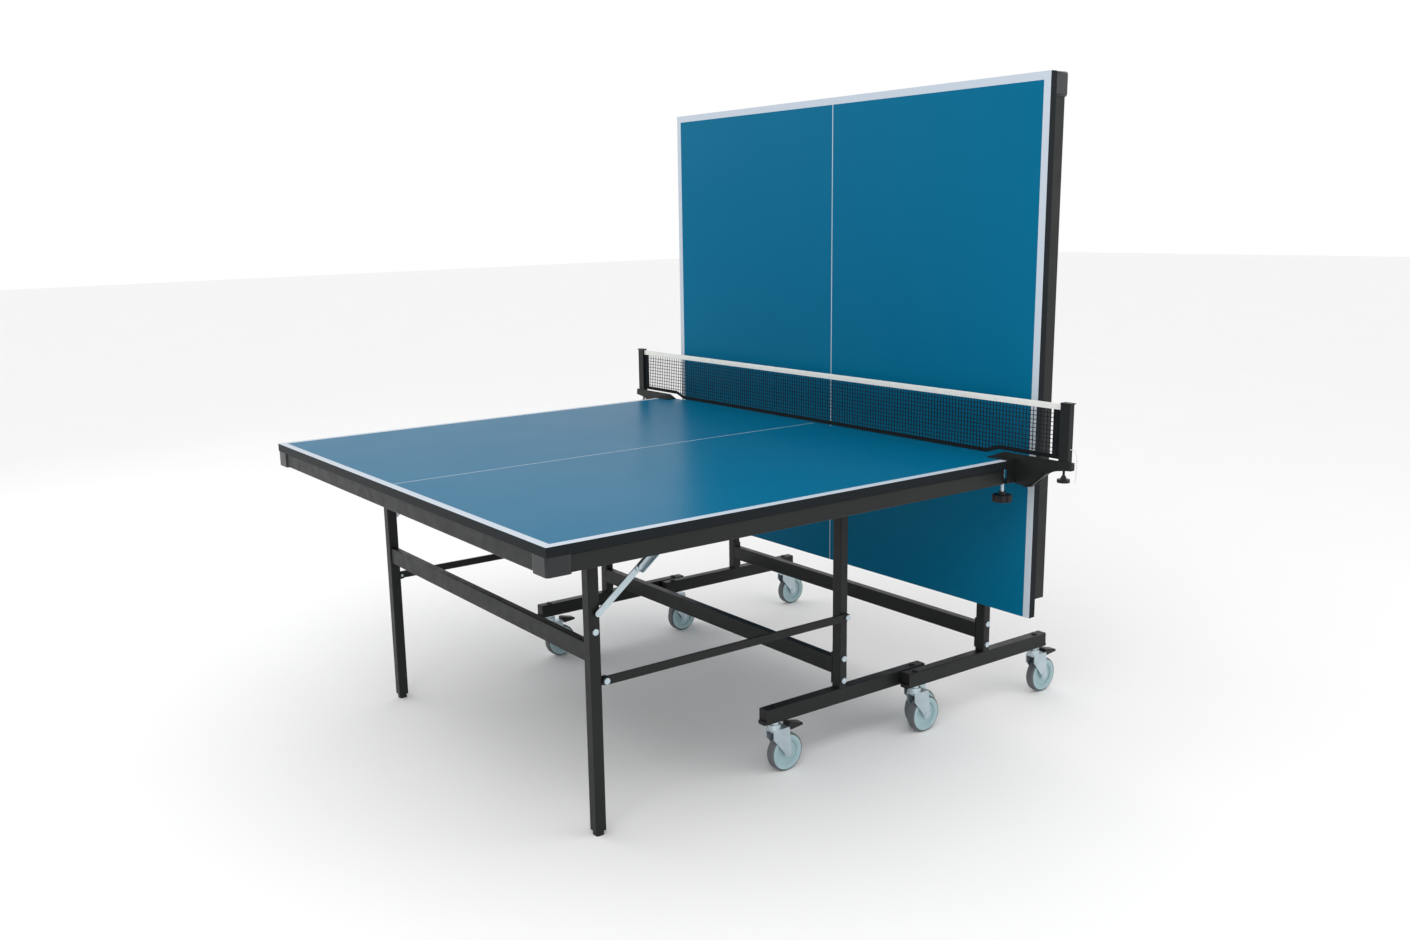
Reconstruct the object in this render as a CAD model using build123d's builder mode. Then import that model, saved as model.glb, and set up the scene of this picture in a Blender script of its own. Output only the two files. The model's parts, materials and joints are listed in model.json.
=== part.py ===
from build123d import *
import math
import os

# A regulation folding table tennis table, in millimetres, +Z up.
# Half A lies flat for play at -X. Half B stands upright at +X, for playing against.
# The origin is on the floor under the middle of the table as it stands. Y runs along the net.
#
# Each half is drawn in its own frame (u, v, w): u runs from the net edge out to the
# end line, v runs along the net edge, and w is the height over the playing surface.

os.makedirs("parts", exist_ok=True)

# --- where the net line stands, from the middle of the whole table ---
NET_X = 475.6

# --- tabletop ---
HALF_LENGTH = 1370.0
TABLE_WIDTH = 1525.0
TABLE_HEIGHT = 760.0
BOARD = 22.0
SIDE_EDGE = TABLE_WIDTH / 2

# --- welded apron under the board ---
APRON_DEPTH = 39.0
APRON_WIDTH = 25.0
APRON_INSET = 4.0
APRON_START = 47.0
CAP_LENGTH = 60.0
CAP_RADIUS = 8.0
CAP_DROP = 1.5

# --- fold: the pivots on the trolley posts ---
PIVOT_U = 388.0
PIVOT_DROP = 46.0
PIVOT_HEIGHT = TABLE_HEIGHT - PIVOT_DROP
UPRIGHT_SURFACE_X = NET_X + 66.3
UPRIGHT_LOW_EDGE = PIVOT_HEIGHT - PIVOT_U

# --- legs: a parallelogram with the struts keeps them upright ---
LINK_LENGTH = 728.0
LEG_HINGE_U = PIVOT_U + LINK_LENGTH
LEG_OFFSET = 20.0
LEG_TUBE = 28.0
LEG_V = 540.0
LEG_TOP_DROP = 24.0
FOOT_HEIGHT = 12.0
LEG_BAR_TOP = 459.0
LEG_BAR_HEIGHT = 46.0
LEG_BAR_THICK = 20.0
STRUT_INSET = 5.0
STRUT_HEIGHT = 368.0
STRUT_WIDTH = 20.0
STRUT_THICK = 6.0
STRUT_V = 549.0

# --- trolley ---
POST_NEAR_V = 533.0
POST_FAR_V = -571.0
POST_U = 25.0
POST_V = 30.0
BEAM_TOP = 178.0
BEAM_HEIGHT = 40.0
BEAM_WIDTH = 30.0
BEAM_LENGTH = 545.0
BEAM_INNER_U = PIVOT_U - 294.5
STEM_INSET = 30.0
CROSS_BOTTOM = 212.0
CROSS_HEIGHT = 44.0
TUBE_WALL = 2.0
TUBE_RADIUS = 3.0

# --- casters ---
WHEEL_RADIUS = 50.0
WHEEL_WIDTH = 24.0
TREAD = 14.0
TRAIL = 35.0
FORK_GAP = 26.0
FORK_PLATE = 2.5
AXLE_RADIUS = 4.0
STEM_RADIUS = 5.0
RUNNING = 0.05

# --- net ---
NET_HALF = 915.0
NET_TOP = 912.5
NET_POST_WIDTH = 28.0
TAPE_HEIGHT = 15.0
MESH_THICK = 1.5
CORD_DIAMETER = 2.0

# --- ribs, plates and folding braces ---
RIB_V = 485.0
RIB_WIDTH = 30.0
RIB_DEPTH = 25.0
RIB_SPAN = (60.0, 1300.0)
RIB_CROSS = (60.0, 700.0, 1275.0)
PLATE = 4.0
PLATE_GAP = 0.6
PIVOT_PIN = 6.0
HINGE_PIN = 4.0
BRACE_PIN = 3.0
BRACE_TOP = (888.0, -40.0)
BRACE_LEG = (14.0, -184.0)
BRACE_LOWER = 140.0
BAR_V = (560.0, 563.0)
CHANNEL_V = (564.0, 575.0)
BRACE_PLATE_V = (576.0, 580.0)
BAR_WIDTH = 16.0
CHANNEL_WIDTH = 22.0
CHANNEL_WALL = 2.0
UNDER = -BOARD
APRON_LOW = -BOARD - APRON_DEPTH
LEG_IN = LEG_V - LEG_TUBE / 2
LEG_OUT = LEG_V + LEG_TUBE / 2

# --- leg fittings ---
LEG_LOW = FOOT_HEIGHT - PIVOT_HEIGHT
BAR_LEG_TOP = LEG_BAR_TOP - PIVOT_HEIGHT
STRUT_Z = STRUT_HEIGHT - PIVOT_HEIGHT
TAB_V = (LEG_V + 4.6, STRUT_V - 0.6)
BOLT_HEAD = 7.5
BOLT_HEIGHT = 4.0

# --- trolley fittings ---
POST_TOP = PIVOT_HEIGHT + 10
PLATE_BOLTS = (198.0, 257.0)
END_PLATE = 3.0
END_PLATE_SPAN = (186.0, 270.0)
SIDES = (POST_NEAR_V, POST_FAR_V)
STEM_U = (BEAM_INNER_U + STEM_INSET, BEAM_INNER_U + BEAM_LENGTH - STEM_INSET)
STEM_TOP = BEAM_TOP - 12

# --- caster fittings ---
CROWN_Z = (112.0, 118.0)
CROWN_BACK = 12.0
RACE_Z = (118.0, 132.0)
HALF_GAP = FORK_GAP / 2
PEDAL_U = TRAIL + 5
PEDAL_Z = 119.0
PEDAL_HALF = 12.0

# --- net fittings ---
# Sizes in X count from the net line.
NET_FRAME = Plane(origin=(NET_X, 0, 0))
CLAMP_X = (-44.0, -8.0)
BRACKET_X = (-11.0, -8.0)
FLANGE_X = (-24.0, -8.0)
JAW = 3.0
JAW_IN = 700.0
WEB = (SIDE_EDGE + 0.5, SIDE_EDGE + 4.5)
JAW_LOW = 702.0
SCREW_X = -27.0
SCREW_Y = 738.0
SCREW_RADIUS = 4.0
KNOB_RADIUS = 25.0
KNOB_Z = (650.0, 668.0)
BOARD_LOW = TABLE_HEIGHT - BOARD
POST_OUT = NET_HALF + 2.0
POST_IN = POST_OUT - NET_POST_WIDTH
ADJUSTER_Y = 901.0
MESH_LOW = TABLE_HEIGHT + 3.0
BRACKET_TOP = TABLE_HEIGHT + 14.0
TAPE_LOW = NET_TOP - TAPE_HEIGHT
SIDE_NAMES = {-1: "near", 1: "far"}
JAW_GAP = 0.2
JAW_Z = (TABLE_HEIGHT + JAW_GAP, TABLE_HEIGHT + JAW_GAP + JAW)
SHELF = 5.0
SHELF_IN = 14.0
BLADE_TIP = 690.0
BLADE_TOP_IN = 725.0
BLADE_OUT = (926.0, 929.0)
BLADE_OUT_LOW = TABLE_HEIGHT - 6.0
BLADE_CURVE = (868.0, 740.0)
BLADE_BEND = (822.0, 700.0)
BLADE_HEEL = (800.0, 696.0)
BLADE_WEB_LOW = 698.0
FLANGE_THICK = 3.0
NET_POST_X = (-7.9, 8.0)
NET_POST_Z = (TABLE_HEIGHT - 2.0, NET_TOP + 1.0)
NET_LIP_X = (-9.5, 9.5)
NET_LIP_OUT = 3.0
NET_LIP_TOP = NET_TOP + 4.0
MESH_GAP = 0.3
MESH_STEP = (660.0, 700.0)
MESH_RAISED = BRACKET_TOP + 2.0
TAPE_X = (-2.0, 2.0)

# --- cord clip ---
CLIP_Y = (-POST_OUT - 10.0, -POST_OUT)
CLIP_Z = (752.0, 772.0)
CLIP_X = (-6.0, 6.0)
CLIP_ROUND = 3.0

# --- small sizes of the fittings ---
HINGE_PLATE_HALF = 12.0
PIVOT_PLATE_HALF = 14.0
FLANGE = 2.0
CUT = 1.0
CAP_FIT = 0.05
LUG_INSET = 4.0
LUG_RADIUS = 9.0
TAB_RADIUS = 11.0
TAB_DEPTH = 14.0
GLIDE_INSET = 6.0
PLUG_FIT = 0.2
GLIDE_PLUG = 20.0
LEG_BOLT_RISE = 28.0
PIN_END = 2.0
PIN_OUT = 0.4
BOLT_GAP = 0.5
KNUCKLE_RADIUS = 5.0
KNUCKLE_DEEP = 2.5
KNUCKLE_SEAT = 4.0
SLEEVE_RADIUS = 9.0
NUT_RADIUS = 8.0
NUT_HEIGHT = 3.0
BEAM_CAP = 4.0
BEAM_CAP_LIP = 9.0
BEAM_CAP_PLUG = 14.0
LIP_HEIGHT = 10.0
BEAM_BORE = 2 * TUBE_WALL + 2 * PLUG_FIT
PLUG_RADIUS = 2.5
RACE_RADIUS = 17.0
COLLAR_RADIUS = 12.0
COLLAR_TOP = 137.5
CHEEK_BOSS = 12.0
AXLE_HEAD = 7.0
AXLE_HEAD_OUT = 1.5
RIM_DEPTH = 4.0
RIM_INSET = 1.0
DISC_DEEP = 5.0
HUB_RADIUS = 9.0
TYRE_ROUND = 5.0
KNOB_LOBES = 8
KNOB_LOBE = 5.0
KNOB_HUB = 9.0
KNOB_HUB_HEIGHT = 8.0
SCREW_GAP = 0.3
SCREW_PAD = 10.0
SCREW_PAD_HEIGHT = 4.0
DIAL_RADIUS = 16.0
DIAL_SIDES = 10
DIAL_Z = (721.0, 729.0)
DIAL_CONE = 8.0
DIAL_CONE_HEIGHT = 9.0
DIAL_CONE_TAPER = 20.0
ADJUSTER_ROD = 3.0
HEAD_FACE = STRUT_V + STRUT_THICK + BOLT_GAP

# Side outlines of the fork's cheek and of the brake pedal, as (z, distance behind the stem).
CROWN_FRONT = TRAIL + 4
CHEEK_CORNERS = [
    (CROWN_Z[0], -CROWN_BACK),
    (CROWN_Z[1], -CROWN_BACK),
    (CROWN_Z[1], CROWN_FRONT),
    (WHEEL_RADIUS, TRAIL + 11),
    (WHEEL_RADIUS - 5, TRAIL),
    (WHEEL_RADIUS, TRAIL - 11),
    (94, -CROWN_BACK),
]
PEDAL_CORNERS = [
    (PEDAL_Z + 7, PEDAL_U),
    (PEDAL_Z + 7, PEDAL_U + 8),
    (PEDAL_Z - 2, PEDAL_U + 46),
    (PEDAL_Z - 8, PEDAL_U + 46),
    (PEDAL_Z - 12, PEDAL_U + 8),
    (PEDAL_Z - 6, PEDAL_U),
]


def half_frame(name):
    """The frame of a half: origin on the net edge, x towards the end line, z out of the top."""
    if name == "a":
        return Plane(origin=(NET_X, 0, TABLE_HEIGHT), x_dir=(-1, 0, 0), z_dir=(0, 0, 1))
    return Plane(origin=(UPRIGHT_SURFACE_X, 0, UPRIGHT_LOW_EDGE), x_dir=(0, 0, 1), z_dir=(-1, 0, 0))


def trolley_frame(name):
    """The frame of a trolley: x counts from its half's net edge in play, z from the floor."""
    if name == "a":
        return Plane(origin=(NET_X, 0, 0), x_dir=(-1, 0, 0), z_dir=(0, 0, 1))
    shift = UPRIGHT_SURFACE_X + PIVOT_DROP - PIVOT_U
    return Plane(origin=(shift, 0, 0), x_dir=(1, 0, 0), z_dir=(0, 0, 1))


def leg_frame(name):
    """The frame of the legs, which stay upright: x and z count from the leg hinge."""
    if name == "a":
        return Plane(origin=(NET_X - LEG_HINGE_U, 0, PIVOT_HEIGHT), x_dir=(-1, 0, 0), z_dir=(0, 0, 1))
    hinge_x = UPRIGHT_SURFACE_X + PIVOT_DROP
    hinge_z = UPRIGHT_LOW_EDGE + LEG_HINGE_U
    return Plane(origin=(hinge_x, 0, hinge_z), x_dir=(1, 0, 0), z_dir=(0, 0, 1))


def across(plane, along, start):
    """A sketch plane at right angles to one axis of a frame.

    Sketch axes are (u, v) along w, (v, w) along u and (w, u) along v.
    """
    if along == "w":
        return plane.offset(start)
    if along == "u":
        origin = plane.from_local_coords((start, 0, 0))
        return Plane(origin=origin, x_dir=plane.y_dir, z_dir=plane.x_dir)
    origin = plane.from_local_coords((0, start, 0))
    return Plane(origin=origin, x_dir=plane.z_dir, z_dir=plane.y_dir)


def block(plane, u, v, w, mode=Mode.ADD):
    """A box between low and high values on each axis of a frame."""
    with BuildSketch(plane.offset(w[0])) as outline:
        with Locations(((u[0] + u[1]) / 2, (v[0] + v[1]) / 2)):
            Rectangle(u[1] - u[0], v[1] - v[0])
    extrude(outline.sketch, amount=w[1] - w[0], mode=mode)


def tube(plane, along, span, centre, size, wall=TUBE_WALL, radius=TUBE_RADIUS):
    """A rectangular tube with rounded corners, open at its ends."""
    with BuildSketch(across(plane, along, span[0])) as section:
        with Locations(centre):
            RectangleRounded(size[0], size[1], radius)
            RectangleRounded(size[0] - 2 * wall, size[1] - 2 * wall, radius - wall / 2, mode=Mode.SUBTRACT)
    extrude(section.sketch, amount=span[1] - span[0])


def rod(plane, along, span, centre, radius, mode=Mode.ADD):
    """A round bar, or a round hole when mode is subtract."""
    with BuildSketch(across(plane, along, span[0])) as section:
        with Locations(centre):
            Circle(radius)
    extrude(section.sketch, amount=span[1] - span[0], mode=mode)


def link(plane, span, start, end, width, hole=0.0):
    """A flat bar with round ends in the (w, u) plane, and a hole at each end."""
    dx = end[0] - start[0]
    dy = end[1] - start[1]
    middle = ((start[0] + end[0]) / 2, (start[1] + end[1]) / 2)
    turn = math.degrees(math.atan2(dy, dx))
    with BuildSketch(across(plane, "v", span[0])) as outline:
        with Locations(Location((middle[0], middle[1], 0), (0, 0, turn))):
            SlotCenterToCenter(math.hypot(dx, dy), width)
        if hole:
            with Locations(start, end):
                Circle(hole, mode=Mode.SUBTRACT)
    extrude(outline.sketch, amount=span[1] - span[0])


def outline_face(corners):
    """Close a run of corners into a face of the sketch being drawn."""
    with BuildLine() as edge_line:
        Polyline(*corners, close=True)
    make_face(edge_line.edges())


def save(name, node):
    """Label a finished piece and write its STEP file."""
    node.part.label = name
    export_step(node.part, f"parts/{name}.step")


def hanging_plate(plane, v, u_centre, pin, pin_w, half_width):
    """A plate welded under the board, with a round lower end about a pin hole."""
    with BuildSketch(across(plane, "v", v[0])) as outline:
        with Locations(((UNDER + pin_w) / 2, u_centre)):
            Rectangle(UNDER - pin_w, 2 * half_width)
        with Locations((pin_w, u_centre)):
            Circle(half_width)
            Circle(pin + RUNNING, mode=Mode.SUBTRACT)
    extrude(outline.sketch, amount=v[1] - v[0])


# --- tabletops and the welded frame under them ---
def mirrored(side, low, high):
    """A span on the +v or -v side, in rising order."""
    return tuple(sorted((side * low, side * high)))


for half in ("a", "b"):
    top = half_frame(half)

    with BuildPart() as tabletop:
        block(top, (0, HALF_LENGTH), (-SIDE_EDGE, SIDE_EDGE), (UNDER, 0))
    save(f"tabletop_{half}", tabletop)

    rail_v = SIDE_EDGE - APRON_INSET - APRON_WIDTH / 2
    rail_end = HALF_LENGTH - APRON_INSET
    rail_w = UNDER - APRON_DEPTH / 2
    with BuildPart() as apron:
        for side in (-1, 1):
            tube(top, "u", (APRON_START, rail_end), (side * rail_v, rail_w), (APRON_WIDTH, APRON_DEPTH))
        end_reach = rail_v - APRON_WIDTH / 2 + TUBE_WALL / 2
        end_centre = (rail_w, rail_end - APRON_WIDTH / 2)
        tube(top, "v", (-end_reach, end_reach), end_centre, (APRON_DEPTH, APRON_WIDTH))
    save(f"apron_{half}", apron)

    rib_w = UNDER - RIB_DEPTH / 2
    with BuildPart() as ribs:
        for side in (-1, 1):
            tube(top, "u", RIB_SPAN, (side * RIB_V, rib_w), (RIB_WIDTH, RIB_DEPTH))
            for face in (LEG_IN - PLATE_GAP - PLATE, LEG_OUT + PLATE_GAP):
                plate = mirrored(side, face, face + PLATE)
                hanging_plate(top, plate, LEG_HINGE_U, HINGE_PIN, -PIVOT_DROP, HINGE_PLATE_HALF)
            # each flange starts over the rib's middle, so it is one with the rib's flat top wall
            flange = mirrored(side, RIB_V, LEG_OUT + PLATE_GAP + PLATE)
            flange_u = (LEG_HINGE_U - HINGE_PLATE_HALF, LEG_HINGE_U + HINGE_PLATE_HALF)
            block(top, flange_u, flange, (UNDER - FLANGE, UNDER))
            plate = mirrored(side, *BRACE_PLATE_V)
            hanging_plate(top, plate, BRACE_TOP[0], BRACE_PIN, BRACE_TOP[1], HINGE_PLATE_HALF)
            flange = mirrored(side, RIB_V, BRACE_PLATE_V[1])
            flange_u = (BRACE_TOP[0] - HINGE_PLATE_HALF, BRACE_TOP[0] + HINGE_PLATE_HALF)
            block(top, flange_u, flange, (UNDER - FLANGE, UNDER))
        for start in RIB_CROSS:
            reach = RIB_V - RIB_WIDTH / 2 + TUBE_WALL / 2
            tube(top, "v", (-reach, reach), (rib_w, start + RIB_DEPTH / 2), (RIB_DEPTH, RIB_DEPTH))
        for post_v, rib_v in ((POST_NEAR_V, RIB_V), (POST_FAR_V, -RIB_V)):
            face = post_v - POST_V / 2 - PLATE_GAP
            hanging_plate(top, (face - PLATE, face), PIVOT_U, PIVOT_PIN, -PIVOT_DROP, PIVOT_PLATE_HALF)
            flange = (min(face - PLATE, rib_v), max(face, rib_v))
            flange_u = (PIVOT_U - PIVOT_PLATE_HALF, PIVOT_U + PIVOT_PLATE_HALF)
            block(top, flange_u, flange, (UNDER - FLANGE, UNDER))
    save(f"top_ribs_{half}", ribs)

    with BuildPart() as corner_caps:
        for side in (-1, 1):
            with BuildSketch(top.offset(APRON_LOW - CAP_DROP)) as cap_outline:
                with Locations((HALF_LENGTH - CAP_LENGTH / 2, side * (SIDE_EDGE - CAP_LENGTH / 2))):
                    RectangleRounded(CAP_LENGTH, CAP_LENGTH, CAP_RADIUS)
            extrude(cap_outline.sketch, amount=APRON_DEPTH + CAP_DROP - CAP_FIT)
            hollow_u = (HALF_LENGTH - CAP_LENGTH - CUT, rail_end + CAP_FIT)
            hollow_v = mirrored(side, SIDE_EDGE - CAP_LENGTH - CUT, SIDE_EDGE - APRON_INSET + CAP_FIT)
            block(top, hollow_u, hollow_v, (APRON_LOW - CAP_FIT, UNDER + CUT), Mode.SUBTRACT)
    save(f"corner_caps_{half}", corner_caps)

# --- legs, their glides and bolts, the struts and the folding braces ---
def bolt_head(plane, face, side, centre, radius=BOLT_HEAD, height=BOLT_HEIGHT):
    """A domed bolt head that stands on a face square to v, away from the middle."""
    rod(plane, "v", mirrored(side, face, face + height), centre, radius)


for half in ("a", "b"):
    leg = leg_frame(half)
    top = half_frame(half)
    trolley = trolley_frame(half)

    with BuildPart() as legs:
        for side in (-1, 1):
            span = (LEG_LOW, PIVOT_DROP - LEG_TOP_DROP)
            tube(leg, "w", span, (LEG_OFFSET, side * LEG_V), (LEG_TUBE, LEG_TUBE))
            lug = mirrored(side, LEG_IN + LUG_INSET, LEG_OUT - LUG_INSET)
            with BuildSketch(across(leg, "v", lug[0])) as lug_outline:
                lug_reach = LEG_OFFSET - LEG_TUBE / 2 + TUBE_WALL / 2
                with Locations((0, lug_reach / 2)):
                    Rectangle(2 * LUG_RADIUS, lug_reach)
                Circle(LUG_RADIUS)
                Circle(HINGE_PIN + RUNNING, mode=Mode.SUBTRACT)
            extrude(lug_outline.sketch, amount=lug[1] - lug[0])
            tab = mirrored(side, *TAB_V)
            with BuildSketch(across(leg, "v", tab[0])) as tab_outline:
                with Locations((STRUT_Z, TAB_DEPTH / 2 - STRUT_INSET - 1)):
                    Rectangle(2 * TAB_RADIUS, TAB_DEPTH)
                with Locations((STRUT_Z, -STRUT_INSET)):
                    Circle(TAB_RADIUS)
                    Circle(HINGE_PIN, mode=Mode.SUBTRACT)
            extrude(tab_outline.sketch, amount=tab[1] - tab[0])
    save(f"legs_{half}", legs)

    with BuildPart() as leg_bar:
        bar_z = BAR_LEG_TOP - LEG_BAR_HEIGHT / 2
        tube(leg, "v", (-LEG_IN, LEG_IN), (bar_z, LEG_OFFSET), (LEG_BAR_HEIGHT, LEG_BAR_THICK))
    save(f"leg_crossbar_{half}", leg_bar)

    with BuildPart() as feet:
        for side in (-1, 1):
            with BuildSketch(leg.offset(-PIVOT_HEIGHT)) as sole:
                with Locations((LEG_OFFSET, side * LEG_V)):
                    RectangleRounded(LEG_TUBE - GLIDE_INSET, LEG_TUBE - GLIDE_INSET, GLIDE_INSET)
            extrude(sole.sketch, amount=FOOT_HEIGHT)
            bore = LEG_TUBE - 2 * TUBE_WALL - PLUG_FIT
            with BuildSketch(leg.offset(LEG_LOW)) as plug:
                with Locations((LEG_OFFSET, side * LEG_V)):
                    RectangleRounded(bore, bore, TUBE_RADIUS - TUBE_WALL / 2)
            extrude(plug.sketch, amount=GLIDE_PLUG)
    save(f"leg_feet_{half}", feet)

    with BuildPart() as leg_bolts:
        for side in (-1, 1):
            bolt_head(leg, LEG_OUT, side, (BAR_LEG_TOP + LEG_BOLT_RISE, LEG_OFFSET))
            hinge_reach = PLATE_GAP + PLATE + PIN_END
            rod(leg, "v", mirrored(side, LEG_IN - hinge_reach, LEG_OUT + hinge_reach), (0, 0), HINGE_PIN)
            strut_pin = (STRUT_Z, -STRUT_INSET)
            rod(leg, "v", mirrored(side, TAB_V[0] - PIN_END - CUT, HEAD_FACE), strut_pin, HINGE_PIN)
            bolt_head(leg, HEAD_FACE, side, strut_pin)
            brace_pin = (BRACE_LEG[1], BRACE_LEG[0])
            rod(leg, "v", mirrored(side, LEG_OUT, BAR_V[1] + BOLT_GAP), brace_pin, BRACE_PIN)
    save(f"leg_bolts_{half}", leg_bolts)

    strut_start = (STRUT_HEIGHT, PIVOT_U - STRUT_INSET)
    with BuildPart() as struts:
        for side in (-1, 1):
            thick = mirrored(side, STRUT_V, STRUT_V + STRUT_THICK)
            if half == "a":
                strut_end = (STRUT_HEIGHT, PIVOT_U - STRUT_INSET + LINK_LENGTH)
            else:
                strut_end = (STRUT_HEIGHT + LINK_LENGTH, PIVOT_U - STRUT_INSET)
            link(trolley, thick, strut_start, strut_end, STRUT_WIDTH, HINGE_PIN + RUNNING)
    save(f"struts_{half}", struts)

# The brace is straight while the legs stand, and folded back on itself while they are away.
LEG_PIN_OPEN = (LEG_HINGE_U + BRACE_LEG[0], -PIVOT_DROP + BRACE_LEG[1])
LEG_PIN_FOLDED = (LEG_HINGE_U + BRACE_LEG[1], -PIVOT_DROP - BRACE_LEG[0])
BRACE_LENGTH = math.dist(BRACE_TOP, LEG_PIN_OPEN)
BRACE_UPPER = BRACE_LENGTH - BRACE_LOWER


def knuckle(leg_pin):
    """Where the two links of a brace meet, on the side away from the board, as (u, w)."""
    du = leg_pin[0] - BRACE_TOP[0]
    dw = leg_pin[1] - BRACE_TOP[1]
    reach = min(math.hypot(du, dw), BRACE_LENGTH)
    cosine = (BRACE_UPPER**2 + reach**2 - BRACE_LOWER**2) / (2 * BRACE_UPPER * reach)
    angle = math.atan2(dw, du) - math.acos(min(1.0, cosine))
    return (BRACE_TOP[0] + BRACE_UPPER * math.cos(angle), BRACE_TOP[1] + BRACE_UPPER * math.sin(angle))


for half, leg_pin in (("a", LEG_PIN_OPEN), ("b", LEG_PIN_FOLDED)):
    top = half_frame(half)
    joint_u, joint_w = knuckle(leg_pin)
    print(f"brace {half}: leg pin {leg_pin}, knuckle ({joint_u:.2f}, {joint_w:.2f})")
    leg_end = (leg_pin[1], leg_pin[0])
    joint = (joint_w, joint_u)
    top_end = (BRACE_TOP[1], BRACE_TOP[0])

    with BuildPart() as brace_lower:
        for side in (-1, 1):
            link(top, mirrored(side, *BAR_V), leg_end, joint, BAR_WIDTH, BRACE_PIN + RUNNING)
            rod(top, "v", mirrored(side, BAR_V[0] - KNUCKLE_DEEP, BAR_V[1]), joint, KNUCKLE_RADIUS)
    save(f"brace_lower_{half}", brace_lower)

    with BuildPart() as brace_upper:
        for side in (-1, 1):
            link(top, mirrored(side, *CHANNEL_V), joint, top_end, CHANNEL_WIDTH)
            pocket = mirrored(side, CHANNEL_V[0] + CHANNEL_WALL, CHANNEL_V[1])
            inner = CHANNEL_WIDTH - 2 * CHANNEL_WALL
            dw = top_end[0] - joint[0]
            du = top_end[1] - joint[1]
            turn = math.degrees(math.atan2(du, dw))
            middle = ((top_end[0] + joint[0]) / 2, (top_end[1] + joint[1]) / 2)
            with BuildSketch(across(top, "v", pocket[0])) as hollow:
                with Locations(Location((middle[0], middle[1], 0), (0, 0, turn))):
                    Rectangle(BRACE_UPPER + 2 * CHANNEL_WIDTH, inner)
            extrude(hollow.sketch, amount=pocket[1] - pocket[0], mode=Mode.SUBTRACT)
            rod(top, "v", mirrored(side, CHANNEL_V[0], BRACE_PLATE_V[1] + PIN_END), top_end, BRACE_PIN)
            seat = mirrored(side, CHANNEL_V[0], CHANNEL_V[0] + KNUCKLE_SEAT)
            rod(top, "v", seat, joint, KNUCKLE_RADIUS)
    save(f"brace_upper_{half}", brace_upper)

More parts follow.
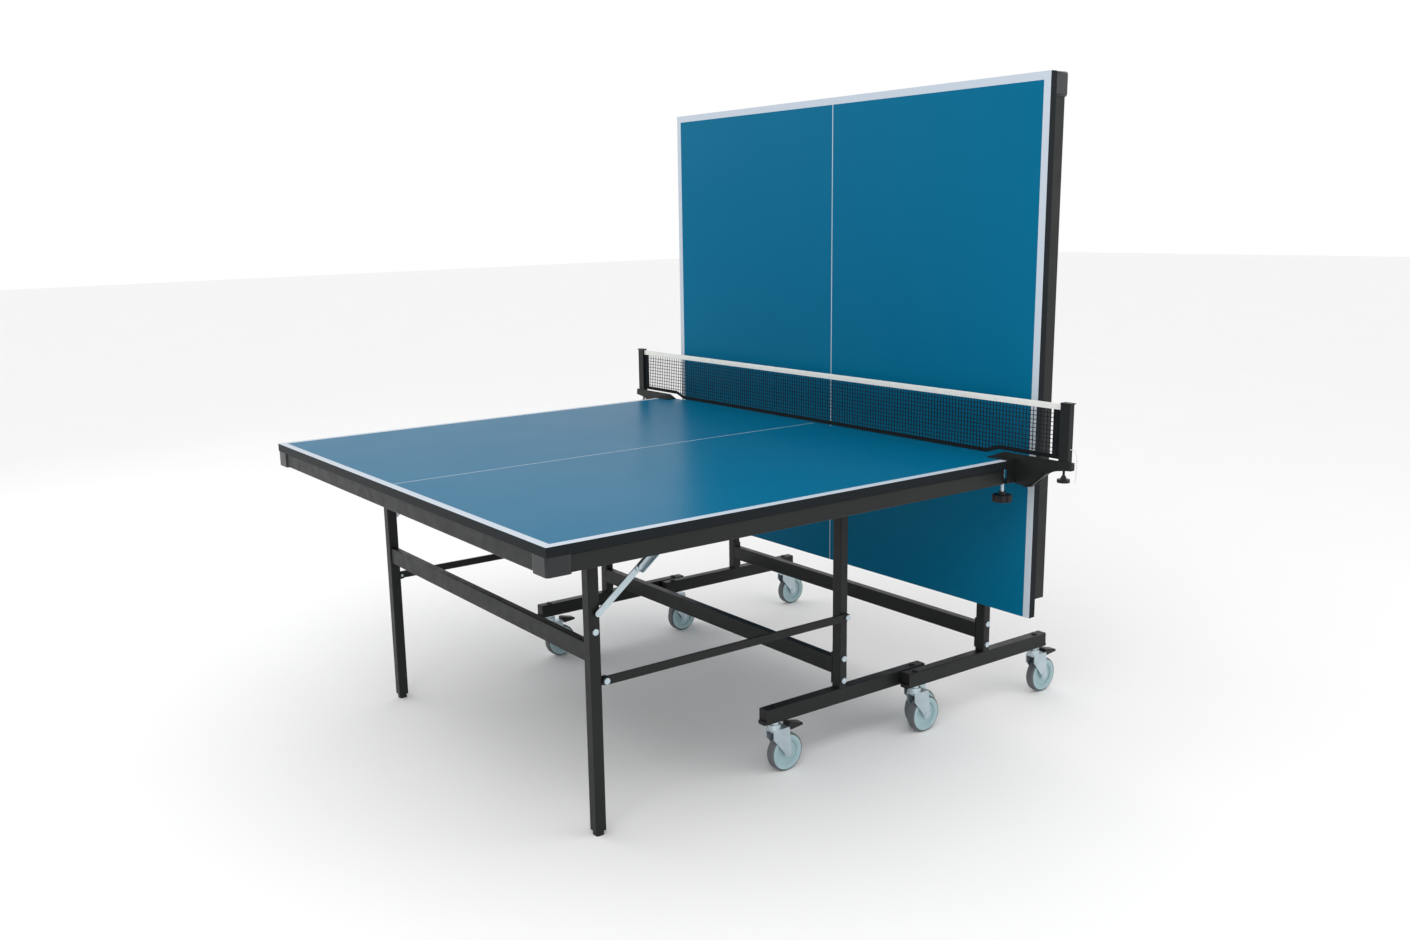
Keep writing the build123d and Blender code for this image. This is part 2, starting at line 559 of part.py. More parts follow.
# --- trolleys ---
for half in ("a", "b"):
    trolley = trolley_frame(half)

    with BuildPart() as beams:
        for side_v in SIDES:
            beam_z = BEAM_TOP - BEAM_HEIGHT / 2
            span = (BEAM_INNER_U, BEAM_INNER_U + BEAM_LENGTH)
            tube(trolley, "u", span, (side_v, beam_z), (BEAM_WIDTH, BEAM_HEIGHT))
            for stem_u in STEM_U:
                rod(trolley, "w", (BEAM_TOP - BEAM_HEIGHT, BEAM_TOP), (stem_u, side_v), SLEEVE_RADIUS)
                bore_z = (BEAM_TOP - BEAM_HEIGHT - CUT, STEM_TOP)
                rod(trolley, "w", bore_z, (stem_u, side_v), STEM_RADIUS + RUNNING, Mode.SUBTRACT)
    save(f"floor_beams_{half}", beams)

    with BuildPart() as posts:
        for side_v in SIDES:
            tube(trolley, "w", (BEAM_TOP, POST_TOP), (PIVOT_U, side_v), (POST_U, POST_V))
            through = (side_v - POST_V, side_v + POST_V)
            rod(trolley, "v", through, (PIVOT_HEIGHT, PIVOT_U), PIVOT_PIN + PLUG_FIT, Mode.SUBTRACT)
    save(f"posts_{half}", posts)

    with BuildPart() as cross_tube:
        inner_near = POST_NEAR_V - POST_V / 2
        inner_far = POST_FAR_V + POST_V / 2
        cross_z = CROSS_BOTTOM + CROSS_HEIGHT / 2
        span = (inner_far + END_PLATE, inner_near - END_PLATE)
        tube(trolley, "v", span, (cross_z, PIVOT_U), (CROSS_HEIGHT, POST_U))
        for plate in ((inner_near - END_PLATE, inner_near), (inner_far, inner_far + END_PLATE)):
            block(trolley, (PIVOT_U - POST_U / 2, PIVOT_U + POST_U / 2), plate, END_PLATE_SPAN)
    save(f"cross_tube_{half}", cross_tube)

    with BuildPart() as beam_caps:
        for side_v in SIDES:
            for face, way in ((BEAM_INNER_U, -1), (BEAM_INNER_U + BEAM_LENGTH, 1)):
                with BuildSketch(across(trolley, "u", min(face, face + way * BEAM_CAP))) as cap:
                    with Locations((side_v, BEAM_TOP - BEAM_HEIGHT / 2)):
                        RectangleRounded(BEAM_WIDTH, BEAM_HEIGHT, TUBE_RADIUS)
                extrude(cap.sketch, amount=BEAM_CAP)
                with BuildSketch(across(trolley, "u", min(face, face + way * BEAM_CAP_LIP))) as lip:
                    with Locations((side_v, BEAM_TOP - BEAM_HEIGHT + LIP_HEIGHT / 2)):
                        RectangleRounded(BEAM_WIDTH - BEAM_CAP, LIP_HEIGHT, TUBE_RADIUS)
                extrude(lip.sketch, amount=BEAM_CAP_LIP)
                with BuildSketch(across(trolley, "u", min(face, face - way * BEAM_CAP_PLUG))) as plug:
                    with Locations((side_v, BEAM_TOP - BEAM_HEIGHT / 2)):
                        RectangleRounded(BEAM_WIDTH - BEAM_BORE, BEAM_HEIGHT - BEAM_BORE, PLUG_RADIUS)
                extrude(plug.sketch, amount=BEAM_CAP_PLUG)
    save(f"beam_caps_{half}", beam_caps)

    with BuildPart() as trolley_bolts:
        for side_v in SIDES:
            outer_face = abs(side_v) + POST_V / 2
            side = 1 if side_v > 0 else -1
            for bolt_z in PLATE_BOLTS:
                bolt_head(trolley, outer_face, side, (bolt_z, PIVOT_U))
            plate_face = side_v - POST_V / 2 - PLATE_GAP - PLATE
            pin_span = (plate_face - PIN_END, side_v + POST_V / 2 + PIN_OUT)
            rod(trolley, "v", pin_span, (PIVOT_HEIGHT, PIVOT_U), PIVOT_PIN)
            for stem_u in STEM_U:
                rod(trolley, "w", (BEAM_TOP, BEAM_TOP + NUT_HEIGHT), (stem_u, side_v), NUT_RADIUS)
        strut_pin = (STRUT_HEIGHT, PIVOT_U - STRUT_INSET)
        rod(trolley, "v", (POST_NEAR_V + POST_V / 2, HEAD_FACE), strut_pin, HINGE_PIN)
        bolt_head(trolley, HEAD_FACE, 1, strut_pin)
        inner_face = BOLT_GAP - STRUT_V
        rod(trolley, "v", (POST_FAR_V + POST_V / 2, inner_face), strut_pin, HINGE_PIN)
        rod(trolley, "v", (inner_face, inner_face + BOLT_HEIGHT), strut_pin, BOLT_HEAD)
    save(f"trolley_bolts_{half}", trolley_bolts)

# --- casters: each trails towards +X, as left by the last move of the table ---
def caster_name(half, inner, near):
    """Such as a_inner_near."""
    return f"{half}_{'inner' if inner else 'outer'}_{'near' if near else 'far'}"


for half in ("a", "b"):
    trolley = trolley_frame(half)
    for stem_u, inner in ((STEM_U[0], True), (STEM_U[1], False)):
        for side_v in SIDES:
            stem = trolley.from_local_coords((stem_u, side_v, 0))
            name = caster_name(half, inner, stem.Y < 0)
            place = Plane(origin=(stem.X, stem.Y, 0))
            print(f"caster {name}: stem ({stem.X:.1f}, {stem.Y:.1f})")

            with BuildPart() as fork:
                rod(place, "w", RACE_Z, (0, 0), RACE_RADIUS)
                rod(place, "w", (RACE_Z[1], COLLAR_TOP), (0, 0), COLLAR_RADIUS)
                rod(place, "w", (COLLAR_TOP, STEM_TOP - CUT), (0, 0), STEM_RADIUS)
                crown_v = HALF_GAP + FORK_PLATE
                block(place, (-CROWN_BACK, CROWN_FRONT), (-crown_v, crown_v), CROWN_Z)
                for low, high in ((-crown_v, -HALF_GAP), (HALF_GAP, crown_v)):
                    with BuildSketch(across(place, "v", low)) as cheek:
                        with BuildLine():
                            Polyline(*CHEEK_CORNERS, close=True)
                        make_face()
                        with Locations((WHEEL_RADIUS, TRAIL)):
                            Circle(CHEEK_BOSS)
                    extrude(cheek.sketch, amount=high - low)
                head_v = crown_v + AXLE_HEAD_OUT
                rod(place, "v", (-head_v, head_v), (WHEEL_RADIUS, TRAIL), AXLE_RADIUS)
                for low, high in ((-head_v, -crown_v), (crown_v, head_v)):
                    rod(place, "v", (low, high), (WHEEL_RADIUS, TRAIL), AXLE_HEAD)
            save(f"fork_{name}", fork)

            centre = (WHEEL_RADIUS, TRAIL)
            with BuildPart() as wheel:
                half_w = WHEEL_WIDTH / 2
                disc_v = half_w - DISC_DEEP
                rim_v = half_w - RIM_INSET
                rod(place, "v", (-disc_v, disc_v), centre, WHEEL_RADIUS - TREAD)
                for low, high in ((-rim_v, -disc_v), (disc_v, rim_v)):
                    rod(place, "v", (low, high), centre, WHEEL_RADIUS - TREAD)
                    rod(place, "v", (low, high), centre, WHEEL_RADIUS - TREAD - RIM_DEPTH, Mode.SUBTRACT)
                rod(place, "v", (-half_w, half_w), centre, HUB_RADIUS)
                rod(place, "v", (-half_w, half_w), centre, AXLE_RADIUS + RUNNING, Mode.SUBTRACT)
            with BuildPart() as tyre:
                rod(place, "v", (-half_w, half_w), centre, WHEEL_RADIUS)
                rod(place, "v", (-half_w, half_w), centre, WHEEL_RADIUS - TREAD, Mode.SUBTRACT)
                outer_edges = tyre.edges().filter_by(GeomType.CIRCLE).group_by(SortBy.RADIUS)[-1]
                fillet(outer_edges, TYRE_ROUND)
            both = Compound(label=f"wheel_{name}", children=[wheel.part.solid(), tyre.part.solid()])
            export_step(both, f"parts/wheel_{name}.step")

            if not inner:
                with BuildPart() as pedal:
                    with BuildSketch(across(place, "v", -PEDAL_HALF)) as lever:
                        with BuildLine():
                            Polyline(*PEDAL_CORNERS, close=True)
                        make_face()
                    extrude(lever.sketch, amount=2 * PEDAL_HALF)
                save(f"brake_pedal_{name}", pedal)

# --- net set, clamped over the net edge of half A ---
with BuildPart() as net_brackets:
    for side in (-1, 1):
        jaw_y = mirrored(side, JAW_IN, WEB[1])
        block(NET_FRAME, CLAMP_X, jaw_y, JAW_Z)
        block(NET_FRAME, CLAMP_X, mirrored(side, *WEB), (JAW_LOW, JAW_Z[1]))
        block(NET_FRAME, CLAMP_X, mirrored(side, SCREW_Y - SHELF_IN, WEB[1]), (JAW_LOW, JAW_LOW + SHELF))
        bore_z = (JAW_LOW - CUT, JAW_LOW + SHELF + CUT)
        bore_at = (SCREW_X, side * SCREW_Y)
        rod(NET_FRAME, "w", bore_z, bore_at, SCREW_RADIUS + RUNNING, Mode.SUBTRACT)
        with BuildSketch(Plane.YZ.offset(NET_X + BRACKET_X[0])) as blade:
            with BuildLine() as blade_edge:
                wedge_tip = (side * BLADE_TIP, JAW_Z[0])
                wedge_top = (side * BLADE_TOP_IN, BRACKET_TOP)
                tip_top = (side * BLADE_OUT[0], BRACKET_TOP)
                tip_low = (side * BLADE_OUT[1], BLADE_OUT_LOW)
                Polyline(wedge_tip, wedge_top, tip_top, tip_low)
                curve = (side * BLADE_CURVE[0], BLADE_CURVE[1])
                bend_low = (side * BLADE_BEND[0], BLADE_BEND[1])
                heel = (side * BLADE_HEEL[0], BLADE_HEEL[1])
                Spline(tip_low, curve, bend_low, tangents=((-side, -0.15), (-side, -0.45)))
                web_low = (side * WEB[0], BLADE_WEB_LOW)
                Polyline(bend_low, heel, web_low, (side * WEB[0], JAW_Z[0]), wedge_tip)
            make_face(blade_edge.edges())
        extrude(blade.sketch, amount=BRACKET_X[1] - BRACKET_X[0])
        with BuildSketch(Plane.YZ.offset(NET_X + FLANGE_X[0])) as flange_edge:
            lower_edge = [BLADE_HEEL, BLADE_BEND, BLADE_CURVE]
            upper_edge = [(y, z + FLANGE_THICK) for y, z in reversed(lower_edge)]
            outline_face([(side * y, z) for y, z in lower_edge + upper_edge])
        extrude(flange_edge.sketch, amount=FLANGE_X[1] - FLANGE_X[0])
save("net_brackets", net_brackets)

with BuildPart() as net_posts:
    for side in (-1, 1):
        post_y = mirrored(side, POST_IN, POST_OUT)
        block(NET_FRAME, NET_POST_X, post_y, NET_POST_Z)
        lip_y = mirrored(side, POST_IN, POST_OUT + NET_LIP_OUT)
        block(NET_FRAME, NET_LIP_X, lip_y, (NET_POST_Z[1], NET_LIP_TOP))
        cone_top = DIAL_Z[1] + DIAL_CONE_HEIGHT
        rod(NET_FRAME, "w", (cone_top - CUT, NET_POST_Z[0]), (0, side * ADJUSTER_Y), ADJUSTER_ROD)
        with BuildSketch(NET_FRAME.offset(DIAL_Z[1])) as hub_low:
            with Locations((0, side * ADJUSTER_Y)):
                Circle(DIAL_CONE)
        extrude(hub_low.sketch, amount=DIAL_CONE_HEIGHT, taper=DIAL_CONE_TAPER)
        with BuildSketch(NET_FRAME.offset(DIAL_Z[0])) as dial:
            with Locations((0, side * ADJUSTER_Y)):
                RegularPolygon(DIAL_RADIUS, DIAL_SIDES)
        extrude(dial.sketch, amount=DIAL_Z[1] - DIAL_Z[0])
save("net_posts", net_posts)

for side in (-1, 1):
    with BuildPart() as clamp_screw:
        centre = (SCREW_X, side * SCREW_Y)
        screw_top = BOARD_LOW - SCREW_GAP
        rod(NET_FRAME, "w", (KNOB_Z[1], screw_top), centre, SCREW_RADIUS)
        rod(NET_FRAME, "w", (screw_top - SCREW_PAD_HEIGHT, screw_top), centre, SCREW_PAD)
        rod(NET_FRAME, "w", (KNOB_Z[1], KNOB_Z[1] + KNOB_HUB_HEIGHT), centre, KNOB_HUB)
        with BuildSketch(NET_FRAME.offset(KNOB_Z[0])) as star:
            with Locations(centre):
                Circle(KNOB_RADIUS - KNOB_LOBE)
                with PolarLocations(KNOB_RADIUS - KNOB_LOBE, KNOB_LOBES):
                    Circle(KNOB_LOBE)
        extrude(star.sketch, amount=KNOB_Z[1] - KNOB_Z[0])
    save(f"clamp_screw_{SIDE_NAMES[side]}", clamp_screw)

with BuildPart() as net_mesh:
    with BuildSketch(Plane.YZ.offset(NET_X - MESH_THICK / 2)) as mesh_outline:
        mesh_end = POST_IN - MESH_GAP
        far_low = [(MESH_STEP[0], MESH_LOW), (MESH_STEP[1], MESH_RAISED), (mesh_end, MESH_RAISED)]
        near_low = [(-y, z) for y, z in reversed(far_low)]
        top_z = TAPE_LOW - MESH_GAP
        outline_face([*near_low, *far_low, (mesh_end, top_z), (-mesh_end, top_z)])
    extrude(mesh_outline.sketch, amount=MESH_THICK)
save("net_mesh", net_mesh)

with BuildPart() as net_tape:
    block(NET_FRAME, TAPE_X, (MESH_GAP - POST_IN, POST_IN - MESH_GAP), (TAPE_LOW, NET_TOP))
save("net_tape", net_tape)

with BuildPart() as cord_clip:
    block(NET_FRAME, CLIP_X, CLIP_Y, CLIP_Z)
    clip_corners = cord_clip.edges().filter_by(Axis.X).group_by(Axis.Y)[0]
    fillet(clip_corners, CLIP_ROUND)
save("cord_clip", cord_clip)

CORD_ROUTE = [
    (NET_X + 0.0, -917.0, 804.0),
    (NET_X + 0.0, -931.0, 804.0),
    (NET_X + 1.5, -936.5, 790.0),
    (NET_X + 2.5, -934.5, 768.0),
    (NET_X + 0.5, -937.5, 745.0),
    (NET_X - 1.0, -935.0, 722.0),
]


def corner_radii(points, share=0.45):
    """The largest arc that each corner of a route has room for."""
    radii = []
    for before, corner, after in zip(points, points[1:], points[2:]):
        run_in = Vector(*corner) - Vector(*before)
        run_out = Vector(*after) - Vector(*corner)
        half_turn = math.radians(run_in.get_angle(run_out)) / 2
        radii.append(share * min(run_in.length, run_out.length) / math.tan(half_turn))
    return radii


cord_radii = corner_radii(CORD_ROUTE)
print("cord radii", [round(radius, 1) for radius in cord_radii])
with BuildPart() as tension_cord:
    with BuildLine() as cord_path:
        FilletPolyline(*CORD_ROUTE, radius=cord_radii)
    start = Vector(*CORD_ROUTE[0])
    heading = Vector(*CORD_ROUTE[1]) - start
    with BuildSketch(Plane(origin=start, z_dir=heading)) as cord_section:
        Circle(CORD_DIAMETER / 2)
    sweep(cord_section.sketch, path=cord_path.wires()[0])
cord_length = cord_path.wires()[0].length
section_area = math.pi * CORD_DIAMETER**2 / 4
print(f"cord length {cord_length:.1f}, volume {tension_cord.part.volume:.1f}, "
      f"section times length {section_area * cord_length:.1f}")
save("tension_cord", tension_cord)
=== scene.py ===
import json
import math

import bmesh
import bpy
from mathutils import Matrix, Vector


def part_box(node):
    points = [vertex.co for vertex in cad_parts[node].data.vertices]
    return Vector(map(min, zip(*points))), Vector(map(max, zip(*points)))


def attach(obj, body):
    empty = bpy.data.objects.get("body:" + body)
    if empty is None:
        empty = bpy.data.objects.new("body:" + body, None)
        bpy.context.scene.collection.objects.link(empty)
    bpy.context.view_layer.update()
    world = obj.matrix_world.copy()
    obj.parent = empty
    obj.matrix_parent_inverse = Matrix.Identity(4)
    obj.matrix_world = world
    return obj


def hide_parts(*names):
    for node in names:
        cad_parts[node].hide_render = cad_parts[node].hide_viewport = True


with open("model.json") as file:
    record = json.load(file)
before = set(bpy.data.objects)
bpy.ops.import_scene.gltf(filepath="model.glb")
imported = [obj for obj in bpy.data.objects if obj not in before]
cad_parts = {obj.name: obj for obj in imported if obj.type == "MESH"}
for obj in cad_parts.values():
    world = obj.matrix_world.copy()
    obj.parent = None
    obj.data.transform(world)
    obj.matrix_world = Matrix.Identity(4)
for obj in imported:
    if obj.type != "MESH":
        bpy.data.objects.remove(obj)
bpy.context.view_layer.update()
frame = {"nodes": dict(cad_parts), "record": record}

# --- places that the model shares, in metres ---
NET_X = 0.4756
TABLE_TOP = 0.760
UPRIGHT_FACE_X = NET_X + 0.0663
HALF_LENGTH = 1.370
TABLE_HALF_WIDTH = 0.7625
UPRIGHT_TOP_Z = 1.696
LINE_WIDTH = 0.020
CENTRE_LINE = 0.003
FACE_SLACK = 0.0006


# --- camera ---
CAMERA_PLACE = (NET_X - 2.54855, -2.83984, 1.38136)
CAMERA_AZIMUTH = -0.60543
CAMERA_ELEVATION = 0.212263
CAMERA_ROLL = -0.0224314
CAMERA_LENS = 32.708
CAMERA_SHIFT = (0.0352, 0.0141)
SENSOR_WIDTH = 36.0


def make_camera():
    """The camera at the photograph's viewing angle."""
    flat = math.cos(CAMERA_ELEVATION)
    drop = -math.sin(CAMERA_ELEVATION)
    forward = Vector((-math.sin(CAMERA_AZIMUTH) * flat, math.cos(CAMERA_AZIMUTH) * flat, drop))
    right = forward.cross(Vector((0, 0, 1))).normalized()
    up = right.cross(forward)
    turn = (math.cos(CAMERA_ROLL), math.sin(CAMERA_ROLL))
    rolled_right = right * turn[0] + up * turn[1]
    rolled_up = up * turn[0] - right * turn[1]
    rotation = Matrix((rolled_right, rolled_up, -forward)).transposed().to_4x4()
    data = bpy.data.cameras.new("camera")
    data.sensor_width = SENSOR_WIDTH
    data.lens = CAMERA_LENS
    data.shift_x = CAMERA_SHIFT[0]
    data.shift_y = CAMERA_SHIFT[1]
    camera = bpy.data.objects.new("camera", data)
    camera.matrix_world = Matrix.Translation(CAMERA_PLACE) @ rotation
    bpy.context.scene.collection.objects.link(camera)
    bpy.context.scene.camera = camera


make_camera()
# Plain display colours, so that the blue keeps its depth.
bpy.context.scene.view_settings.view_transform = "Standard"

# --- the net's tension cord ---
CORD_POINTS = [
    (NET_X, -0.917, 0.804),
    (NET_X, -0.931, 0.804),
    (NET_X + 0.0015, -0.9365, 0.790),
    (NET_X + 0.0025, -0.9345, 0.768),
    (NET_X + 0.0005, -0.9375, 0.745),
    (NET_X - 0.0010, -0.9350, 0.722),
]
CORD_DIAMETER = 0.002


def make_cord():
    """The thin braided cord that hangs outside the near net post."""
    curve = bpy.data.curves.new("tension_cord_line", "CURVE")
    curve.dimensions = "3D"
    curve.bevel_depth = CORD_DIAMETER / 2
    curve.bevel_resolution = 4
    curve.use_fill_caps = True
    spline = curve.splines.new("NURBS")
    spline.points.add(len(CORD_POINTS) - 1)
    for point, place in zip(spline.points, CORD_POINTS):
        point.co = (*place, 1.0)
    spline.order_u = 3
    spline.use_endpoint_u = True
    spline.resolution_u = 12
    cord = bpy.data.objects.new("tension_cord_line", curve)
    bpy.context.scene.collection.objects.link(cord)
    return cord


cord = make_cord()


# --- material building blocks ---
def new_material(name):
    """A material with an empty tree but for its shader."""
    material = bpy.data.materials.new(name)
    material.use_nodes = True
    tree = material.node_tree
    shader = tree.nodes["Principled BSDF"]
    return material, tree, shader


def feed(tree, socket, value):
    """Link an output to a socket, or set the socket to a plain value."""
    if isinstance(value, bpy.types.NodeSocket):
        tree.links.new(value, socket)
    else:
        socket.default_value = value


def calc(tree, operation, first, second=0.0):
    """One math node."""
    node = tree.nodes.new("ShaderNodeMath")
    node.operation = operation
    feed(tree, node.inputs[0], first)
    feed(tree, node.inputs[1], second)
    return node.outputs[0]


def place(tree):
    """The point on the object in the shared frame, and its x, y and z."""
    coordinates = tree.nodes.new("ShaderNodeTexCoord")
    split = tree.nodes.new("ShaderNodeSeparateXYZ")
    tree.links.new(coordinates.outputs["Object"], split.inputs[0])
    return coordinates.outputs["Object"], split.outputs[0], split.outputs[1], split.outputs[2]


def noise(tree, point, scale, detail=2.0):
    """Soft noise from 0 to 1."""
    node = tree.nodes.new("ShaderNodeTexNoise")
    tree.links.new(point, node.inputs["Vector"])
    node.inputs["Scale"].default_value = scale
    node.inputs["Detail"].default_value = detail
    return node.outputs["Fac"]


def stretched(tree, point, scale):
    """The point scaled by a different amount on each axis."""
    node = tree.nodes.new("ShaderNodeMapping")
    tree.links.new(point, node.inputs["Vector"])
    node.inputs["Scale"].default_value = scale
    return node.outputs[0]


def spread(tree, value, low, high):
    """Noise mapped onto a range."""
    node = tree.nodes.new("ShaderNodeMapRange")
    tree.links.new(value, node.inputs["Value"])
    node.inputs["From Min"].default_value = 0.3
    node.inputs["From Max"].default_value = 0.7
    node.inputs["To Min"].default_value = low
    node.inputs["To Max"].default_value = high
    return node.outputs[0]


def mix(tree, factor, first, second):
    """A colour between two colours."""
    node = tree.nodes.new("ShaderNodeMix")
    node.data_type = "RGBA"
    feed(tree, node.inputs[0], factor)
    feed(tree, node.inputs[6], first)
    feed(tree, node.inputs[7], second)
    return node.outputs[2]


def raise_surface(tree, shader, height, strength, distance):
    """Bump from a height."""
    node = tree.nodes.new("ShaderNodeBump")
    node.inputs["Strength"].default_value = strength
    node.inputs["Distance"].default_value = distance
    tree.links.new(height, node.inputs["Height"])
    tree.links.new(node.outputs[0], shader.inputs["Normal"])


def coated(name, dark, light, grain, strength, rough, gleam=0.5, patch=6.0):
    """A surface with broad colour variation, fine grain and uneven gloss."""
    material, tree, shader = new_material(name)
    point = place(tree)[0]
    colour = mix(tree, noise(tree, point, patch, 4.0), dark, light)
    tree.links.new(colour, shader.inputs["Base Color"])
    shader.inputs["Specular IOR Level"].default_value = gleam
    gloss = spread(tree, noise(tree, point, patch * 5, 3.0), rough[0], rough[1])
    tree.links.new(gloss, shader.inputs["Roughness"])
    raise_surface(tree, shader, noise(tree, point, grain, 3.0), strength, GRAIN_DEPTH)
    return material


# --- materials ---
GRAIN_DEPTH = 0.0004
WEAVE_DEPTH = 0.0003
STREAK_DEPTH = 0.0002
LAMINATE_DEPTH = 0.00008
LAMINATE_GRAIN = 1400.0
LAMINATE_ROUGH = (0.30, 0.32)
ZINC_DARK = (0.38, 0.46, 0.50, 1.0)
ZINC_LIGHT = (0.60, 0.70, 0.75, 1.0)
ZINC_STREAKS = (90.0, 900.0, 900.0)
BLUE = (0.0006, 0.135, 0.255, 1.0)
BLUE_DEEP = (0.0005, 0.128, 0.243, 1.0)
LINE_WHITE = (0.52, 0.58, 0.65, 1.0)
BOARD_EDGE = (0.014, 0.017, 0.019, 1.0)


def table_material(name, face, end):
    """Blue laminate with painted lines on its playing face, and near-black edges and back.

    face and end are each (axis number, limit, operation) for the side of the limit they lie on.
    """
    material, tree, shader = new_material(name)
    point, *axes = place(tree)
    on_face = calc(tree, face[2], axes[face[0]], face[1])
    across = calc(tree, "ABSOLUTE", axes[1])
    side_line = calc(tree, "GREATER_THAN", across, TABLE_HALF_WIDTH - LINE_WIDTH)
    end_line = calc(tree, end[2], axes[end[0]], end[1])
    centre_line = calc(tree, "LESS_THAN", across, CENTRE_LINE / 2)
    edge_lines = calc(tree, "MAXIMUM", side_line, end_line)
    lines = calc(tree, "MAXIMUM", edge_lines, centre_line)
    blue = mix(tree, noise(tree, point, 3.0, 5.0), BLUE_DEEP, BLUE)
    field = mix(tree, lines, blue, LINE_WHITE)
    colour = mix(tree, on_face, BOARD_EDGE, field)
    tree.links.new(colour, shader.inputs["Base Color"])
    shader.inputs["Specular IOR Level"].default_value = 0.035
    gloss = spread(tree, noise(tree, point, 5.0, 2.0), *LAMINATE_ROUGH)
    tree.links.new(gloss, shader.inputs["Roughness"])
    grain = noise(tree, point, LAMINATE_GRAIN, 1.0)
    raise_surface(tree, shader, calc(tree, "ADD", grain, lines), 0.04, LAMINATE_DEPTH)
    return material


def zinc_material():
    """Zinc plate: cloudy, with fine drawn streaks."""
    material, tree, shader = new_material("zinc_plate")
    point = place(tree)[0]
    cloud = noise(tree, point, 40.0, 5.0)
    colour = mix(tree, cloud, ZINC_DARK, ZINC_LIGHT)
    tree.links.new(colour, shader.inputs["Base Color"])
    shader.inputs["Metallic"].default_value = 0.85
    tree.links.new(spread(tree, cloud, 0.30, 0.46), shader.inputs["Roughness"])
    streaks = noise(tree, stretched(tree, point, ZINC_STREAKS), 1.0, 2.0)
    raise_surface(tree, shader, streaks, 0.15, STREAK_DEPTH)
    return material


def woven_material(name, dark, light, pitch, strength, sheen):
    """Woven or braided thread: two crossed waves at the yarn's pitch."""
    material, tree, shader = new_material(name)
    point, _, y, z = place(tree)
    colour = mix(tree, noise(tree, point, 60.0, 4.0), dark, light)
    tree.links.new(colour, shader.inputs["Base Color"])
    shader.inputs["Roughness"].default_value = 0.85
    shader.inputs["Sheen Weight"].default_value = sheen
    shader.inputs["Specular IOR Level"].default_value = 0.2
    turns = math.tau / pitch
    warp = calc(tree, "SINE", calc(tree, "MULTIPLY", y, turns))
    weft = calc(tree, "SINE", calc(tree, "MULTIPLY", z, turns))
    weave = calc(tree, "MULTIPLY", warp, weft)
    raise_surface(tree, shader, weave, strength, WEAVE_DEPTH)
    return material


POWDER_COAT = coated(
    "powder_coat", (0.008, 0.009, 0.009, 1), (0.014, 0.015, 0.015, 1),
    grain=900.0, strength=0.25, rough=(0.36, 0.48), gleam=0.22,
)
CAP_PLASTIC = coated(
    "cap_plastic", (0.010, 0.011, 0.013, 1), (0.017, 0.018, 0.021, 1),
    grain=500.0, strength=0.15, rough=(0.22, 0.30), gleam=0.35,
)
BLACK_PLASTIC = coated(
    "black_plastic", (0.006, 0.006, 0.007, 1), (0.012, 0.012, 0.013, 1),
    grain=700.0, strength=0.35, rough=(0.40, 0.58), gleam=0.3,
)
WHEEL_DISC = coated(
    "wheel_disc", (0.27, 0.40, 0.43, 1), (0.37, 0.52, 0.55, 1),
    grain=300.0, strength=0.12, rough=(0.28, 0.40), patch=30.0,
)
WHEEL_TYRE = coated(
    "wheel_tyre", (0.075, 0.082, 0.090, 1), (0.12, 0.13, 0.14, 1),
    grain=500.0, strength=0.4, rough=(0.55, 0.75), patch=40.0,
)
ZINC = zinc_material()
NET_THREAD = woven_material(
    "net_thread", (0.002, 0.004, 0.006, 1), (0.006, 0.010, 0.013, 1),
    pitch=0.0016, strength=0.5, sheen=0.02,
)
TAPE_CLOTH = woven_material(
    "tape_cloth", (0.70, 0.70, 0.66, 1), (0.84, 0.84, 0.80, 1),
    pitch=0.0011, strength=0.6, sheen=0.2,
)
CORD_BRAID = woven_material(
    "cord_braid", (0.72, 0.72, 0.69, 1), (0.86, 0.86, 0.83, 1),
    pitch=0.0009, strength=0.7, sheen=0.2,
)

TABLE_A = table_material(
    "laminate_a",
    (2, TABLE_TOP - FACE_SLACK, "GREATER_THAN"),
    (0, NET_X - HALF_LENGTH + LINE_WIDTH, "LESS_THAN"),
)
TABLE_B = table_material(
    "laminate_b",
    (0, UPRIGHT_FACE_X + FACE_SLACK, "LESS_THAN"),
    (2, UPRIGHT_TOP_Z - LINE_WIDTH, "GREATER_THAN"),
)
SLOT_MATERIALS = {
    "frame_black": POWDER_COAT,
    "cap_grey": CAP_PLASTIC,
    "black_plastic": BLACK_PLASTIC,
    "zinc": ZINC,
    "wheel_grey": WHEEL_DISC,
    "net_mesh": NET_THREAD,
    "net_tape": TAPE_CLOTH,
    "cord_white": CORD_BRAID,
}
NODE_MATERIALS = {"tabletop_a": TABLE_A, "tabletop_b": TABLE_B}

# --- the CAD nodes: their materials, and softened edges ---
EDGE_ROUND = 0.0007
SHARP_EDGE = 40
WELD = 0.00002
TYRE_START = 0.0452
SCREW_RADIUS = 0.0065
NUT_HEIGHTS = (0.1765, 0.1825)


def soften(node):
    """Small rounded edges, as on welded tube, pressed plate and moulded plastic."""
    weld = node.modifiers.new("weld", "WELD")
    weld.merge_threshold = WELD
    bevel = node.modifiers.new("edges", "BEVEL")
    bevel.width = EDGE_ROUND
    bevel.segments = 2
    bevel.limit_method = "ANGLE"
    bevel.angle_limit = math.radians(SHARP_EDGE)
    bevel.harden_normals = True


def paint_faces(node, material, chosen):
    """Give a second material to the faces whose centre is chosen."""
    node.data.materials.append(material)
    for face in node.data.polygons:
        if chosen(face.center):
            face.material_index = 1


